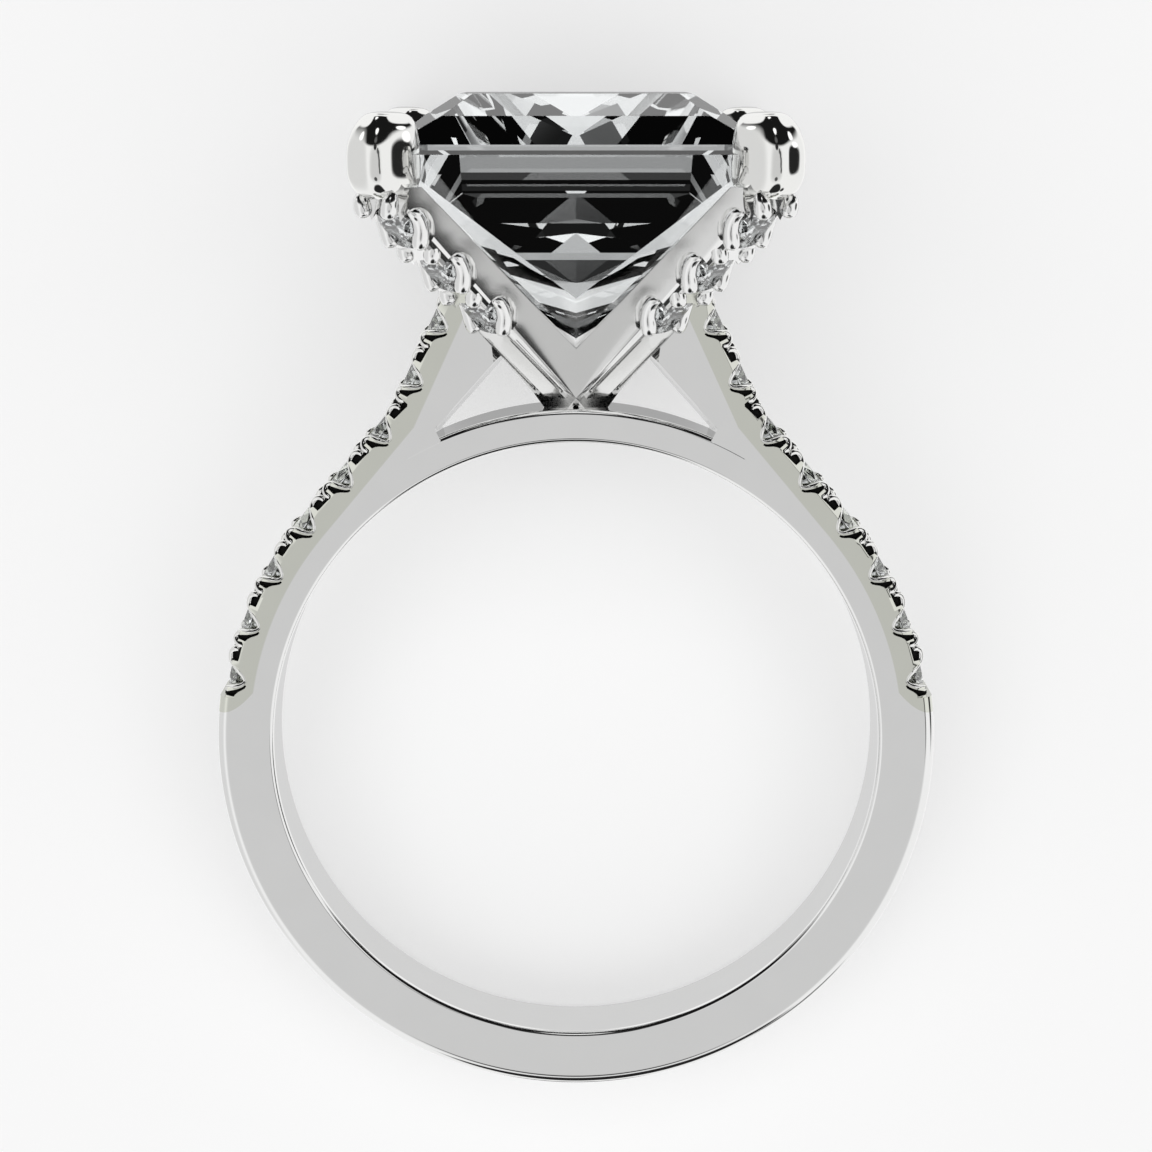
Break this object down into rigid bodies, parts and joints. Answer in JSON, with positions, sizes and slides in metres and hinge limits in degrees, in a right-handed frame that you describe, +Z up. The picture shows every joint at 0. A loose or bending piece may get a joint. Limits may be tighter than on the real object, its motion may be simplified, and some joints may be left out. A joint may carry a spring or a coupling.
{
  "type": "finger ring",
  "caption": "Finger ring with a large square faceted stone in a claw setting, and rows of small round stones on its shoulders and claw arms.",
  "frame": {"origin": "on the surface under the middle of the ring's bounding box, with the ring lying on its side", "axes": "+Z up; +Y from the hoop towards the head with the large stone; +X across the ring, from shoulder to shoulder. The finger hole's axis leans 10.6 degrees back from +Z, because the claws and the hoop's edge both rest on the surface"},
  "size_m": [0.0196, 0.0276, 0.0117],
  "materials": {
    "white_gold": "polished",
    "clear_stone": "polished, faceted"
  },
  "bodies": {
    "root": {"ring_mount": "white_gold", "square_stone": "clear_stone", "shoulder_stone_1": "clear_stone", "shoulder_stone_2": "clear_stone", "shoulder_stone_3": "clear_stone", "shoulder_stone_4": "clear_stone", "shoulder_stone_5": "clear_stone", "shoulder_stone_6": "clear_stone", "shoulder_stone_7": "clear_stone", "shoulder_stone_8": "clear_stone", "shoulder_stone_9": "clear_stone", "shoulder_stone_10": "clear_stone", "shoulder_stone_11": "clear_stone", "shoulder_stone_12": "clear_stone", "shoulder_stone_13": "clear_stone", "shoulder_stone_14": "clear_stone", "shoulder_stone_15": "clear_stone", "shoulder_stone_16": "clear_stone", "claw_arm_stone_1": "clear_stone", "claw_arm_stone_2": "clear_stone", "claw_arm_stone_3": "clear_stone", "claw_arm_stone_4": "clear_stone", "claw_arm_stone_5": "clear_stone", "claw_arm_stone_6": "clear_stone", "claw_arm_stone_7": "clear_stone", "claw_arm_stone_8": "clear_stone", "claw_arm_stone_9": "clear_stone", "claw_arm_stone_10": "clear_stone", "claw_arm_stone_11": "clear_stone", "claw_arm_stone_12": "clear_stone"}
  },
  "joints": []
}
